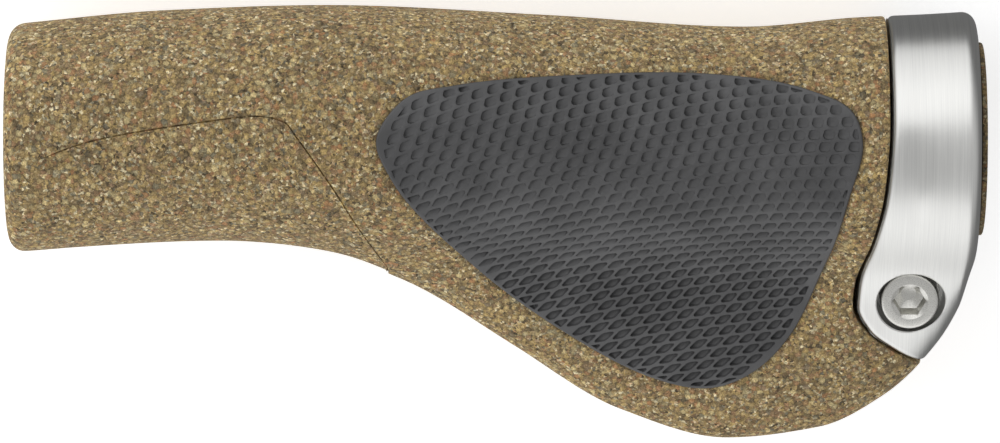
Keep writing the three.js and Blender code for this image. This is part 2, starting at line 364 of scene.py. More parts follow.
def hexagon_radius(across_flats, rounding=0.0):
    """A hexagon's radius as a function of angle, its corners cut back by the rounding."""

    def radius(angle):
        sector = angle % (TAU / 6) - TAU / 12
        corner = across_flats / 2 / np.cos(sector)
        return np.minimum(corner, across_flats / math.sqrt(3) - rounding)

    return radius


def rounded_profile(points, radii, steps):
    """A profile with its inner corners rounded. Corners where the radius is 0 stay sharp."""
    p = [np.array(q, float) for q in points]
    out = [p[0]]
    for i in range(1, len(p) - 1):
        if radii[i] <= 0:
            out.append(p[i])
            continue
        before, after = p[i - 1] - p[i], p[i + 1] - p[i]
        reach = min(radii[i], norm(before) * 0.45, norm(after) * 0.45)
        start = p[i] + before / norm(before) * reach
        end = p[i] + after / norm(after) * reach
        for t in np.linspace(0, 1, steps):
            out.append(start * (1 - t) ** 2 + 2 * p[i] * t * (1 - t) + end * t * t)
    out.append(p[-1])
    return [tuple(q) for q in out]


def cut(piece, cutter, operation="DIFFERENCE"):
    """Take the cutter's solid out of the piece, or with UNION join the two."""
    for obj in (piece, cutter):
        face_out(obj)
    modifier = piece.modifiers.new("cut", "BOOLEAN")
    modifier.operation = operation
    modifier.solver = "MANIFOLD"
    modifier.object = cutter
    graph = bpy.context.evaluated_depsgraph_get()
    mesh = bpy.data.meshes.new_from_object(piece.evaluated_get(graph), depsgraph=graph)
    piece.modifiers.clear()
    old = piece.data
    piece.data = mesh
    bpy.data.meshes.remove(old)
    bpy.data.meshes.remove(cutter.data)


def face_out(piece):
    """Turn the faces outwards if the closed mesh is inside out."""
    mesh = piece.data
    mesh.calc_loop_triangles()
    points = np.empty(len(mesh.vertices) * 3, np.float32)
    mesh.vertices.foreach_get("co", points)
    corners = np.empty(len(mesh.loop_triangles) * 3, np.int32)
    mesh.loop_triangles.foreach_get("vertices", corners)
    a, b, c = points.reshape(-1, 3).astype(float)[corners.reshape(-1, 3)].transpose(1, 0, 2)
    if np.einsum("ij,ij->i", a, np.cross(b, c)).sum() < 0:
        mesh.flip_normals()


def finish_piece(piece, body, material, node, sharp_degrees):
    """Shade a piece, and say what it rides on and the model's node that it replaces."""
    face_out(piece)
    piece.data.shade_smooth()
    piece.data.set_sharp_from_angle(angle=math.radians(sharp_degrees))
    piece.data.materials.clear()
    piece.data.materials.append(material)
    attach(piece, body)
    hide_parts(node)


# ---- Materials ----


class Nodes:
    """A short way to write a node material. Its coordinates are the model's, in millimetres."""

    def __init__(self, name):
        self.material = bpy.data.materials.new(name)
        self.material.use_nodes = True
        self.tree = self.material.node_tree
        self.shader = self.tree.nodes["Principled BSDF"]
        self.place = self.new("ShaderNodeTexCoord").outputs["Object"]

    def new(self, kind, **settings):
        node = self.tree.nodes.new(kind)
        for key, value in settings.items():
            setattr(node, key, value)
        return node

    def link(self, source, target):
        if isinstance(source, (int, float, tuple)):
            target.default_value = source
        else:
            self.tree.links.new(source, target)

    def scaled(self, scale):
        """The coordinates times a scale for each axis, in cycles per millimetre."""
        mapping = self.new("ShaderNodeMapping")
        self.link(self.place, mapping.inputs["Vector"])
        scale = (scale,) * 3 if isinstance(scale, (int, float)) else scale
        mapping.inputs["Scale"].default_value = tuple(s / MM for s in scale)
        return mapping.outputs["Vector"]

    def noise(self, scale, detail=3.0, roughness=0.5, output="Fac"):
        node = self.new("ShaderNodeTexNoise")
        self.link(self.scaled(scale), node.inputs["Vector"])
        for key, value in (("Scale", 1.0), ("Detail", detail), ("Roughness", roughness)):
            node.inputs[key].default_value = value
        return node.outputs[output]

    def maths(self, operation, a, b):
        node = self.new("ShaderNodeMath", operation=operation)
        for source, target in zip((a, b), node.inputs):
            self.link(source, target)
        return node.outputs[0]

    def spread(self, value, low, high, to_low=0.0, to_high=1.0):
        node = self.new("ShaderNodeMapRange")
        for source, target in zip((value, low, high, to_low, to_high), node.inputs):
            self.link(source, target)
        return node.outputs[0]

    def ramp(self, value, stops):
        node = self.new("ShaderNodeValToRGB")
        elements = node.color_ramp.elements
        while len(elements) < len(stops):
            elements.new(0.5)
        for element, (at, colour) in zip(elements, stops):
            element.position = at
            element.color = srgb(colour)
        self.link(value, node.inputs[0])
        return node.outputs["Color"]

    def mix(self, share, a, b, blend="MIX"):
        node = self.new("ShaderNodeMix", data_type="RGBA", blend_type=blend)
        self.link(share, node.inputs["Factor"])
        self.link(srgb(a), node.inputs["A"])
        self.link(srgb(b), node.inputs["B"])
        return node.outputs["Result"]

    def colour(self, source):
        self.link(srgb(source), self.shader.inputs["Base Color"])

    def roughness(self, source):
        self.link(source, self.shader.inputs["Roughness"])

    def bump(self, height, depth_mm, under=None):
        """Relief whose height of 1 stands for a depth in millimetres."""
        node = self.new("ShaderNodeBump")
        node.inputs["Distance"].default_value = depth_mm * MM
        self.link(height, node.inputs["Height"])
        if under:
            self.link(under, node.inputs["Normal"])
        return node.outputs["Normal"]

    def normal(self, source):
        self.link(source, self.shader.inputs["Normal"])


def srgb(colour):
    """A 0 to 255 screen colour as linear light. A node's output stays as it is."""
    if not isinstance(colour, tuple):
        return colour
    unit = [c / 255 for c in colour]
    return (*(c / 12.92 if c <= 0.04045 else ((c + 0.055) / 1.055) ** 2.4 for c in unit), 1)


def cork_compound(name="cork_compound", painted_shade_factor=1.0):
    """Granules of cork and rubber, 0.3 to 0.8 mm across, pressed into a taupe binder. A shade factor
    under 1 darkens all of it as painted shade.
    """
    n = Nodes(name)
    bent = n.new("ShaderNodeVectorMath", operation="MULTIPLY_ADD")
    n.link(n.noise(2.5, 2.0, output="Color"), bent.inputs[0])
    bent.inputs[1].default_value = (0.34, 0.34, 0.34)
    n.link(n.scaled(1.0), bent.inputs[2])

    def granules(scale, stops):
        cell = n.new("ShaderNodeTexVoronoi")
        n.link(bent.outputs[0], cell.inputs["Vector"])
        cell.inputs["Scale"].default_value = scale
        split = n.new("ShaderNodeSeparateColor")
        n.link(cell.outputs["Color"], split.inputs[0])
        return n.ramp(split.outputs[0], stops), split.outputs, cell

    coarse, coarse_random, coarse_cell = granules(
        1.5,
        [
            (0.0, (104, 90, 66)), (0.16, (150, 129, 90)), (0.34, (190, 163, 106)),
            (0.5, (136, 116, 88)), (0.64, (178, 132, 90)), (0.76, (118, 114, 96)),
            (0.9, (222, 200, 144)), (1.0, (84, 76, 62)),
        ],
    )
    fine, fine_random, fine_cell = granules(
        2.7,
        [
            (0.0, (76, 66, 50)), (0.16, (132, 114, 84)), (0.34, (182, 156, 102)),
            (0.5, (122, 98, 74)), (0.66, (208, 182, 126)), (0.78, (106, 102, 88)),
            (0.88, (240, 226, 184)), (1.0, (160, 112, 72)),
        ],
    )
    share = n.spread(coarse_random[1], 0.3, 0.6, 0.12, 0.95)
    colour = n.mix(share, coarse, fine)
    edge = n.spread(coarse_cell.outputs["Distance"], 0.3, 0.75, 1.12, 0.68)
    fleck = n.spread(n.noise(4.6, 3.0, 0.6), 0.32, 0.68, 0.55, 1.5)
    broad = n.spread(n.noise(0.1), 0.3, 0.7, 0.96, 1.04)
    # The shade factor multiplies the whole colour: below 1 it is painted shade.
    tone = n.maths("MULTIPLY", n.maths("MULTIPLY", edge, fleck), n.maths("MULTIPLY", broad, painted_shade_factor))
    light = n.new("ShaderNodeCombineColor")
    for channel in light.inputs:
        n.link(tone, channel)
    n.colour(n.mix(1.0, colour, light.outputs[0], "MULTIPLY"))
    n.roughness(n.spread(fine_random[2], 0.0, 1.0, 0.68, 0.92))
    grain = n.maths("ADD", n.maths("MULTIPLY", fine_cell.outputs["Distance"], -0.6), n.noise(5.0))
    n.normal(n.bump(grain, 0.1, n.bump(coarse_cell.outputs["Distance"], -0.08)))
    n.shader.inputs["Specular IOR Level"].default_value = 0.28
    return n.material


def black_rubber():
    n = Nodes("black_rubber")
    n.colour(n.mix(n.spread(n.noise(0.12), 0.35, 0.65), (70, 70, 71), (84, 84, 85)))
    n.roughness(n.spread(n.noise(1.5), 0.3, 0.7, 0.36, 0.5))
    n.normal(n.bump(n.noise(7.0, 4.0), 0.02))
    return n.material


def brushed_aluminium():
    """Fine lines round the ring: noise that is long across the bar's axis and thin along it."""
    n = Nodes("brushed_aluminium")
    lines = n.noise((9.0, 0.09, 0.09), 6.0, 0.6)
    broad = n.noise((1.6, 0.05, 0.05), 3.0)
    both = n.maths("ADD", n.maths("MULTIPLY", lines, 0.7), n.maths("MULTIPLY", broad, 0.3))
    n.colour(n.mix(n.spread(both, 0.3, 0.7), (214, 214, 212), (236, 236, 233)))
    n.roughness(n.spread(both, 0.3, 0.7, 0.3, 0.42))
    n.normal(n.bump(both, 0.012))
    n.shader.inputs["Metallic"].default_value = 1.0
    n.shader.inputs["Anisotropic"].default_value = 0.5
    return n.material


def stainless_steel():
    n = Nodes("stainless_steel")
    n.colour(n.mix(n.noise(2.0), (206, 205, 200), (228, 227, 222)))
    n.roughness(n.spread(n.noise(6.0), 0.3, 0.7, 0.24, 0.38))
    n.normal(n.bump(n.noise(14.0, 3.0), 0.008))
    n.shader.inputs["Metallic"].default_value = 1.0
    return n.material


def black_nylon():
    n = Nodes("black_nylon")
    n.colour(n.mix(n.noise(0.4), (24, 24, 25), (32, 32, 33)))
    n.roughness(n.spread(n.noise(3.0), 0.3, 0.7, 0.45, 0.6))
    n.normal(n.bump(n.noise(9.0, 3.0), 0.01))
    return n.material


CORK = cork_compound()
# The cap's disc is the same compound darkened to 0.48: painted shade for its rim, which faces away
# from the lamps.
CAP_CORK_PAINTED_SHADE = cork_compound("cap_compound_painted_shade", 0.48)
RUBBER = black_rubber()
ALUMINIUM = brushed_aluminium()
STEEL = stainless_steel()
NYLON = black_nylon()


# ---- The compound body ----

COMPOUND_LENGTH = 121.4  # over the bar; its end follows the clamp line from there
BODY_COLUMNS, BODY_ROWS = 300, 292
BODY_EDGE_ROUND = 0.35
PAD_SEAT_DIP, PAD_SEAT_DEPTH = 0.3, 1.45

STEP_DROP = 0.34
GROOVE_DEPTH, GROOVE_HALF, GROOVE_LIP = 0.46, 0.34, 0.4
# The step moulded into the inboard end, on the upper side: (x, y). It runs on underneath.
STEP_LINE = [
    (3.3, 1.8), (12.5, 5.2), (25.7, 7.6), (34.8, 8.7), (38.6, 8), (40.3, 6),
    (45.1, -1.3), (49.4, -10.1), (52.4, -16.4),
]


def edge_station(angle, line_x):
    """The station where a line x(y) crosses the outer form, at each angle."""

    def before(station):
        return station < line_x(outer_radius(station, angle) * np.cos(angle))

    shape = np.shape(angle)
    return last_true(before, np.full(shape, 110.0), np.full(shape, CLAMP_FACE_X))


def line_distance(points, line_x):
    """How far points are, in plan, from a line x(y)."""
    y = np.linspace(-38, 25, 1200)
    line = np.stack([line_x(y), y, np.zeros(len(y))], -1)
    return nearest_distance(points * (1, 1, 0), line)


def end_wall(angle, line_x, shares):
    """Rings across the wall along a line x(y), from the outer form to the sleeve's seat."""
    station = edge_station(angle, line_x)
    rings = []
    for share in shares:
        radius = outer_radius(station, angle) * (1 - share) + SLEEVE_SEAT * share
        y = radius * np.cos(angle)
        rings.append(np.stack([line_x(y), y, radius * np.sin(angle)], -1))
    return rings


def sleeve_seat_ring(x, angle):
    across, up = SLEEVE_SEAT * np.cos(angle), SLEEVE_SEAT * np.sin(angle)
    return np.stack([np.broadcast_to(x, len(angle)), across, up], -1)


def body_shares():
    """Shares of the body's length, close together at its rounded ends."""
    first, last = 0.018, 0.99
    ends = 1 - np.cos(np.linspace(0, math.pi / 2, 9))
    return np.concatenate(
        [ends[:-1] * first, np.linspace(first, last, BODY_ROWS), 1 - (1 - last) * (1 - ends[1:]) ** 2]
    )


def lowered(rings, angle, depth_of):
    """The outer form's rings, moved in by the depth of each of their points."""
    rings = np.array(rings)
    points = rings.reshape(-1, 3)
    angles = np.broadcast_to(angle, rings.shape[:2]).ravel()
    out = outer_normal(np.clip(points[:, 0], 1, CLAMP_FACE_X - 0.02), angles)
    return (points - out * depth_of(points)[:, None]).reshape(rings.shape)


def body_depth(points):
    """How deep the pad's seat, the step and the rounded edge by the clamp are."""
    depth = pad_seat_depth(points) + step_depth(points)
    near = points[:, 0] > 112
    depth[near] += rounded_edge(line_distance(points[near], compound_end_x), BODY_EDGE_ROUND)
    return depth


def body_skin(angle):
    edge = edge_station(angle, compound_end_x)
    rings = []
    for share in body_shares():
        stretch = smoothstep(share, 0.55, 1.0) * share
        station = share * COMPOUND_LENGTH + (edge - COMPOUND_LENGTH) * stretch
        rings.append(outer_point(station, angle))
    return lowered(rings, angle, body_depth)


def grip_body():
    angle = even_angles(BODY_COLUMNS, (30, 80, 100, 112))
    outer = body_skin(angle)
    wall = end_wall(angle, compound_end_x, np.linspace(0, 1, 14)[1:])
    seat_end = wall[-1][:, 0]
    inner = [sleeve_seat_ring(seat_end * share, angle) for share in (0.75, 0.5, 0.25, 0)]
    wall[0] = (wall[0] + outer[-1]) / 2
    piece = ring_stack("grip_compound", [*outer, *wall, *inner], closed=True)
    cut(piece, step_groove())
    finish_piece(piece, "grip", CORK, "grip_body", 38)


def on_surface(plan, side=1):
    """A plan line's points on the upper surface or, with side -1, on the lower one."""
    return outer_point(plan[:, 0], angle_over(plan[:, 0], plan[:, 1], side))


def pad_seat_depth(points):
    """The compound dips to the pad's edge and runs on under it."""
    outline = closed_curve(PAD_OUTLINE, 900)
    line = on_surface(outline)
    depth = np.zeros(len(points))
    low, high = outline.min(0) - 4, outline.max(0) + 4
    near = (points[:, 2] > 0) & (points[:, :2] > low).all(1) & (points[:, :2] < high).all(1)
    distance = nearest_distance(points[near], line)
    distance = np.where(inside_outline(points[near, :2], outline), -distance, distance)
    dip = PAD_SEAT_DIP * (1 - smoothstep(distance, 0, 0.7))
    under = PAD_SEAT_DEPTH * smoothstep(-distance, 0.1, 1.6)
    depth[near] = dip + under
    return depth


def step_curve(count=400):
    """Points (x, y) along the step."""
    line_x, line_y = (np.array(v, float) for v in zip(*STEP_LINE))
    even = np.linspace(0, 1, len(line_x))
    t = np.linspace(0, 1, count)
    return np.stack([smooth_through(zip(even, line))(t) for line in (line_x, line_y)], -1)


def step_depth(points):
    """The inboard end's rear side is a little lower, behind a crisp step."""
    curve = step_curve()
    line = np.vstack([on_surface(curve), on_surface(curve, -1)])
    region = np.vstack([curve, [[curve[-1, 0], -40], [curve[0, 0], -40]]])
    near = inside_outline(points[:, :2], region) & (points[:, 0] < 60)
    distance = np.zeros(len(points))
    distance[near] = nearest_distance(points[near], line)
    ends = smoothstep(points[:, 0], 3.0, 9.0)
    fade = 1 - 0.75 * smoothstep(distance, 2.0, 14.0)
    return ends * STEP_DROP * smoothstep(distance, 0.0, 0.35) * fade


def step_groove():
    """A fine V that runs along the step, round the wing's edge and back underneath."""
    curve = step_curve(220)
    x, y = curve.T
    over, under = angle_over(x, y), angle_over(x, y, -1) + TAU
    rim = np.linspace(over[-1], under[-1], 26)[1:-1]
    stations = np.concatenate([x, np.full(len(rim), x[-1]), x[::-1]])
    angles = np.concatenate([over, rim, under[::-1]])
    middle, out = outer_point(stations, angles), outer_normal(stations, angles)
    along = np.gradient(middle, axis=0)
    across = np.cross(out, along / norm(along, axis=1, keepdims=True))
    lift = (GROOVE_DEPTH + 0.05) * (1 - smoothstep(stations, 3.4, 9.0))
    rings = []
    for at, outward, side, up in zip(middle, out, across, lift):
        lip = at + outward * (up + GROOVE_LIP)
        half = side * GROOVE_HALF
        rings.append([at + outward * (up - GROOVE_DEPTH), lip + half, lip - half])
    return ring_stack("groove", rings, capped=True)


# ---- The palm pad ----

PIT_SPACING, PIT_ROW = 1.98, 1.68  # from column to column in x, from row to row in s
PIT_REACH = 0.66  # where a leaning pit's sharp corners are cut, as a share of the half diagonal
PIT_CORNER = 0.16
PIT_SMALLEST = 0.5  # area of the smallest pit at the rim
PIT_DEPTH_FRONT, PIT_DEPTH_WING = 0.28, 0.6
PIT_LEAST, PIT_MOST = 0.03, 1.1
PIT_WALL = [(0, 0), (0.02, 0.15), (0.08, 0.9), (0.13, 1.0)]  # (inset, share of the depth)
PIN_FACING = np.array([-0.28, 0.28, 1]) / math.hypot(0.28, 0.28, 1)
RIB_HALF = 0.155
PAD_EDGE_ROUND = 0.32
PAD_SKIRT = 1.3
PAD_COUNT = 760
PAD_UNDERSIDE = [(0.001, -0.16), (0.25, -0.42), (0.7, -0.8), (1.4, -1.25), (2.4, -PAD_SKIRT)]
SHEET_START, SHEET_END, SHEET_STEP = 48, 120, 0.5


def pad_rim(point):
    """The plain rim's width: wider round the front inboard corner and down the outboard side."""
    corner = math.exp(-(((point[0] - 54) / 5) ** 2) - ((point[1] + 7) / 5) ** 2)
    side = math.exp(-(((point[0] - 111) / 6) ** 2) - ((point[1] - 24) / 12) ** 2)
    return 0.5 + 0.8 * corner + 0.45 * side


def row_drop(x):
    """How far towards the front a row of pits has run by station x, from x = 60."""
    u = x - 60
    return 0.37 * u - 0.003 * u * u


def row_slope(x):
    return 0.37 - 0.006 * (x - 60)


def column_lean(s):
    """How far inboard a column of pits has run by s."""
    return 0.41 * s + 0.0083 * s * s


def column_slope(s):
    return 0.41 + 0.0166 * s


class PadSheet:
    """The upper surface unrolled: (x, s), where s runs rearwards round it from over the bar."""

    def __init__(self):
        count = int((SHEET_END - SHEET_START) / SHEET_STEP) + 1
        self.stations = np.linspace(SHEET_START, SHEET_END, count)
        self.angles = np.linspace(0.25, math.pi - 0.02, 700)
        grid = outer_point(self.stations[:, None], self.angles[None])
        step = norm(np.diff(grid, axis=1), axis=2)
        length = np.concatenate([np.zeros((len(self.stations), 1)), np.cumsum(step, 1)], 1)
        middle = np.array([np.interp(math.pi / 2, self.angles, row) for row in length])
        self.length = length - middle[:, None]

    def between(self, x, look):
        """Values at stations x, from look(k, which) at the two stations about each."""
        i = np.clip((x - self.stations[0]) / SHEET_STEP, 0, len(self.stations) - 1.001)
        low = i.astype(int)
        share = i - low
        out = np.empty(len(x))
        for k in np.unique(low):
            m = low == k
            a, b = look(k, m), look(k + 1, m)
            out[m] = a + (b - a) * share[m]
        return out

    def unroll(self, x, angle):
        """s for points of the surface."""
        return self.between(x, lambda k, m: np.interp(angle[m], self.angles, self.length[k]))

    def angle(self, x, s):
        """The angle of the point at (x, s)."""
        return self.between(x, lambda k, m: np.interp(s[m], self.length[k], self.angles))

    def placed(self, flat):
        """The points of the surface, and their outward directions, at points (x, s)."""
        angle = self.angle(flat[:, 0], flat[:, 1])
        return outer_point(flat[:, 0], angle), outer_normal(flat[:, 0], angle)

    def raised(self, flat, height):
        at, out = self.placed(flat)
        return at + out * height[:, None]


def clip_halfplane(polygon, point, inward):
    """The part of a convex polygon on the inward side of a line."""
    out = []
    side = (polygon - point) @ inward
    for i in range(len(polygon)):
        j = (i + 1) % len(polygon)
        if side[i] >= 0:
            out.append(polygon[i])
        if side[i] * side[j] < 0:
            t = side[i] / (side[i] - side[j])
            out.append(polygon[i] + (polygon[j] - polygon[i]) * t)
    return np.array(out)


def polygon_area(p):
    q = np.roll(p, -1, 0)
    return 0.5 * np.sum(p[:, 0] * q[:, 1] - q[:, 0] * p[:, 1])


def inset_polygon(p, distance):
    """A convex polygon, counterclockwise, with its sides moved in. None if nothing is left."""
    box_low, box_high = p.min(0) - 1, p.max(0) + 1
    out = np.array([box_low, (box_high[0], box_low[1]), box_high, (box_low[0], box_high[1])])
    for i in range(len(p)):
        a, b = p[i], p[(i + 1) % len(p)]
        along = b - a
        size = norm(along)
        if size < 1e-6:
            continue
        inward = np.array([-along[1], along[0]]) / size
        out = clip_halfplane(out, a + inward * distance, inward)
        if len(out) < 3:
            return None
    return out


def soften_corners(p, share):
    """Each corner cut once."""
    q = np.roll(p, -1, 0)
    return np.stack([p + (q - p) * share, p + (q - p) * (1 - share)], 1).reshape(-1, 2)


def inward_of(loop):
    """The direction into a counterclockwise loop, at each of its points."""
    along = np.roll(loop, -1, 0) - np.roll(loop, 1, 0)
    inward = np.stack([-along[:, 1], along[:, 0]], -1)
    return inward / norm(inward, axis=1, keepdims=True)


def pit_cell(x, s):
    """The lattice's leaning cell about (x, s), counterclockwise, with its long ends cut off."""
    shear = 1 - column_slope(s) * row_slope(x)
    step = np.array([1, -row_slope(x)]) * PIT_SPACING / shear
    row = np.array([column_slope(s), -1]) * PIT_ROW / shear
    cell = np.array([-step - row, -step + row, step + row, step - row]) / 2
    corner = max((step + row) / 2, (step - row) / 2, key=norm)
    outward = corner / norm(corner)
    for side in (1, -1):
        cell = clip_halfplane(cell, side * PIT_REACH * corner, -side * outward)
    return cell


def pit_centre(p, q):
    """Where column p crosses row q."""
    x, s = 80.0, 5.0
    for _ in range(30):
        x = PIT_SPACING * p - column_lean(s)
        s = PIT_ROW * q - row_drop(x)
    return x, s


def pit_outlines(outline):
    """The pits' edges on the unrolled pad, each cut off at the plain rim."""
    rim = outline + inward_of(outline) * np.array([pad_rim(p) for p in outline])[:, None]
    inward = inward_of(rim)
    tree = tree_of([(*p, 0) for p in rim])
    pits = []
    for p in range(0, 90):
        for q in range(-40, 60):
            x, s = pit_centre(p, q)
            if not (SHEET_START < x < SHEET_END and -20 < s < 45):
                continue
            if tree.find((x, s, 0))[2] > 1.6 and not inside_outline(np.array([[x, s]]), rim)[0]:
                continue
            cell = inset_polygon(pit_cell(x, s), RIB_HALF) + (x, s)
            for _, i, _ in tree.find_n((x, s, 0), 9):
                if len(cell) >= 3:
                    cell = clip_halfplane(cell, rim[i], inward[i])
            if len(cell) >= 3 and polygon_area(cell) > PIT_SMALLEST:
                pits.append(cell)
    return pits


def pit_rings(pits, sheet):
    """Each pit's rings as (points, heights), then its middle. The floors all face one way, as
    the mould's pins did, so a pit is deepest where the pad leans away from that."""
    rings, shares, owners, middles = [], [], [], []
    for k, pit in enumerate(pits):
        for inset, share in PIT_WALL:
            ring = inset_polygon(pit, inset)
            if ring is None:
                break
            rings.append(soften_corners(ring, PIT_CORNER))
            shares.append(share)
            owners.append(k)
        middles.append(pit.mean(0))
    middles = np.array(middles)
    middle_at, middle_out = sheet.placed(middles)
    deep = PIT_DEPTH_FRONT + (PIT_DEPTH_WING - PIT_DEPTH_FRONT) * smoothstep(middles[:, 1], 4, 20)
    plane = middle_at @ PIN_FACING - deep * (middle_out @ PIN_FACING)
    count = [len(r) for r in rings]
    at, out = sheet.placed(np.concatenate(rings))
    depth = (at @ PIN_FACING - np.repeat(plane[owners], count)) / (out @ PIN_FACING)
    depth = np.clip(depth, PIT_LEAST, PIT_MOST) * np.repeat(shares, count)
    heights = np.split(PAD_PROUD - depth, np.cumsum(count)[:-1])
    return list(zip(rings, heights)), list(zip(middles, PAD_PROUD - deep))


def flat_mesh(outline, loops, spots):
    """Triangles inside an outline that keep to loops and spots of (points, height). Also gives
    the place of each point of the first loop."""
    points, heights, edges = [], [], []
    for loop, height in loops:
        first, count = len(points), len(loop)
        points.extend(loop)
        heights.extend(np.broadcast_to(height, count))
        edges.extend((first + i, first + (i + 1) % count) for i in range(count))
    for spot, height in spots:
        points.append(spot)
        heights.append(height)
    vectors = [Vector(p) for p in points]
    found, _, faces, origin, _, _ = geometry.delaunay_2d_cdt(vectors, edges, [], 0, 1e-7, True)
    flat = np.array([tuple(p) for p in found])
    height = np.array([heights[o[0]] if o else PAD_PROUD for o in origin])
    place = {k: i for i, o in enumerate(origin) for k in o}
    middles = np.array([flat[list(f)].mean(0) for f in faces])
    faces = [tuple(f) for f, keep in zip(faces, inside_outline(middles, outline)) if keep]
    return flat, height, faces, [place[k] for k in range(len(loops[0][0]))]


def pad_plan(sheet):
    """The pad's edge on the sheet, counterclockwise."""
    x, y = closed_curve(PAD_OUTLINE, PAD_COUNT).T
    s = sheet.unroll(x, angle_over(x, y))
    outline = resampled(np.stack([x, s], -1), PAD_COUNT)
    return outline if polygon_area(outline) >= 0 else outline[::-1]


def pad_top(outline, inward, sheet):
    """The loops and spots of the upper side: its rounded edge, then the pits."""
    loops = []
    for turn in np.linspace(0, math.pi / 2, 6):
        away = PAD_EDGE_ROUND * (1 - math.cos(turn)) + 0.001
        height = PAD_PROUD - PAD_EDGE_ROUND * (1 - math.sin(turn))
        loops.append((outline + inward * away, height))
    rings, floors = pit_rings(pit_outlines(outline), sheet)
    return loops + rings, floors


def pad_underside(outline, inward):
    """The loops and spots of the side in the compound."""
    loops = [(outline + inward * away, level) for away, level in PAD_UNDERSIDE]
    (x0, s0), (x1, s1) = outline.min(0), outline.max(0)
    across = np.meshgrid(np.arange(x0, x1, 1.5), np.arange(s0, s1, 1.5))
    spots = np.stack(across, -1).reshape(-1, 2)
    spots = spots[inside_outline(spots, outline + inward * 3.2)]
    return loops, [(p, -PAD_SKIRT) for p in spots]


def palm_pad():
    sheet = PadSheet()
    outline = pad_plan(sheet)
    inward = inward_of(outline)
    flat, height, faces, rim = flat_mesh(outline, *pad_top(outline, inward, sheet))
    top = sheet.raised(flat, height)
    first = len(top)
    flat, height, under, foot = flat_mesh(outline, *pad_underside(outline, inward))
    faces += [tuple(first + v for v in reversed(f)) for f in under]
    points = np.vstack([top, sheet.raised(flat, height)])
    for i, j in zip(range(-1, len(rim) - 1), range(len(rim))):
        faces.append((rim[i], first + foot[i], first + foot[j], rim[j]))
    piece = mesh_piece("palm_pad_rubber", points, faces)
    finish_piece(piece, "grip", RUBBER, "palm_pad", 50)


# ---- The clamp ----

CLAMP_COLUMNS = 384
CLAMP_EDGE_ROUND = 0.9
CLAMP_EDGE_RINGS = (0, 0.01, 0.03, 0.07, 0.13, 0.21, 0.31, 0.43, 0.57, 0.73, 0.9, 1.1)
FACE_ROLL = 2.4  # how long the rounded outboard end is
SLIT_LOW, SLIT_HIGH = -1.6, -0.5
COUNTERBORE_SHIFT, COUNTERBORE_RADIUS, COUNTERBORE_CHAMFER = 0.18, 4.8, 0.16
BOLT_HOLE_RADIUS = 2.8
NUT_POCKET_FLATS = 8.6


def surface_height(x, y):
    """The height of the outer form's upper surface over (x, y)."""
    angle = angle_over(x, y)
    return outer_radius(x, angle) * np.sin(angle)


def clamp_depth(points):
    """How far the rounded edge by the compound has pulled in."""
    depth = rounded_edge(line_distance(points, clamp_start_x), CLAMP_EDGE_ROUND)
    return np.where(points[:, 0] < 130, depth, 0)


def clamp_skin(angle):
    """The outer form's rings from the compound to the outboard face."""
    edge = edge_station(angle, clamp_start_x)
    rings = [outer_point(edge + distance, angle) for distance in CLAMP_EDGE_RINGS]
    start, roll = edge + CLAMP_EDGE_RINGS[-1], CLAMP_FACE_X - FACE_ROLL
    for share in np.linspace(0, 1, 37)[1:]:
        rings.append(outer_point(start + (roll - start) * share, angle))
    for share in np.linspace(0, 1, 26)[1:]:
        x = roll + FACE_ROLL * math.sin(share * math.pi / 2)
        rings.append(outer_point(np.full(len(angle), min(x, CLAMP_FACE_X)), angle))
    return lowered(rings, angle, clamp_depth)


def counterbore():
    """The bolt's hole and counterbore, with a fine chamfer that follows the ear's surface."""
    centre = (BOLT_X + COUNTERBORE_SHIFT, BOLT_Y)

    def rim_height(radius, above):
        def height(turn):
            x, y = centre[0] + radius * np.cos(turn), centre[1] + radius * np.sin(turn)
            return surface_height(x, y) + above

        return height

    seat = box_mm("bolt_washer")[0][2] - 0.2
    hole, wide = BOLT_HOLE_RADIUS, COUNTERBORE_RADIUS
    chamfer, clear = wide + COUNTERBORE_CHAMFER, wide + COUNTERBORE_CHAMFER + 0.3
    profile = [
        (hole, -30), (hole, seat - 0.01), (hole, seat), (wide, seat),
        (wide, rim_height(wide, -COUNTERBORE_CHAMFER)), (chamfer, rim_height(chamfer, 0.0)),
        (clear, rim_height(clear, 0.3)), (clear, 20),
    ]
    return post("counterbore", profile, 128, centre)


def nut_pocket():
    top = box_mm("clamp_nut")[1][2] + 0.3
    flats = hexagon_radius(NUT_POCKET_FLATS)
    return post("nut_pocket", [(flats, -30), (flats, top)], 96)


def clamp():
    angle = even_angles(CLAMP_COLUMNS, (118, 124, 128, 131, 133))
    outer = clamp_skin(angle)
    seat = sleeve_seat_ring(CLAMP_FACE_X, angle)
    face = [outer[-1] * (1 - share) + seat * share for share in (0.15, 0.5, 0.85, 1.0)]
    wall = end_wall(angle, clamp_start_x, np.linspace(0, 1, 14))[::-1]
    inner = []
    for share in (0.25, 0.5, 0.75):
        x = CLAMP_FACE_X * (1 - share) + wall[0][:, 0] * share
        inner.append(sleeve_seat_ring(x, angle))
    wall[-1] = (wall[-2] + outer[0]) / 2
    piece = ring_stack("clamp_ring", [*outer, *face, *inner, *wall], closed=True)
    cut(piece, box_cutter((100, -60, SLIT_LOW), (140, -5, SLIT_HIGH)))
    cut(piece, counterbore())
    cut(piece, nut_pocket())
    finish_piece(piece, "clamp_ring", ALUMINIUM, "clamp", 32)


def box_cutter(low, high):
    x, y, z = zip(low, high)
    corners = [(x[i], y[j], z[k]) for i in (0, 1) for j in (0, 1) for k in (0, 1)]
    faces = [(0, 1, 3, 2), (4, 6, 7, 5), (0, 4, 5, 1), (2, 3, 7, 6), (0, 2, 6, 4), (1, 5, 7, 3)]
    return mesh_piece("cutter", corners, faces)


# ---- Bolt, washer and nut ----

HEAD_RADIUS, HEAD_HEIGHT = 4.1, 5.0
SOCKET_FLATS = 4.0
THREAD_PITCH, THREAD_SAMPLES = 0.8, 8
THREAD_ROOT, THREAD_HEIGHT, THREAD_SHANK = 2.08, 0.4, 2.44
THREAD_COLUMNS = 96


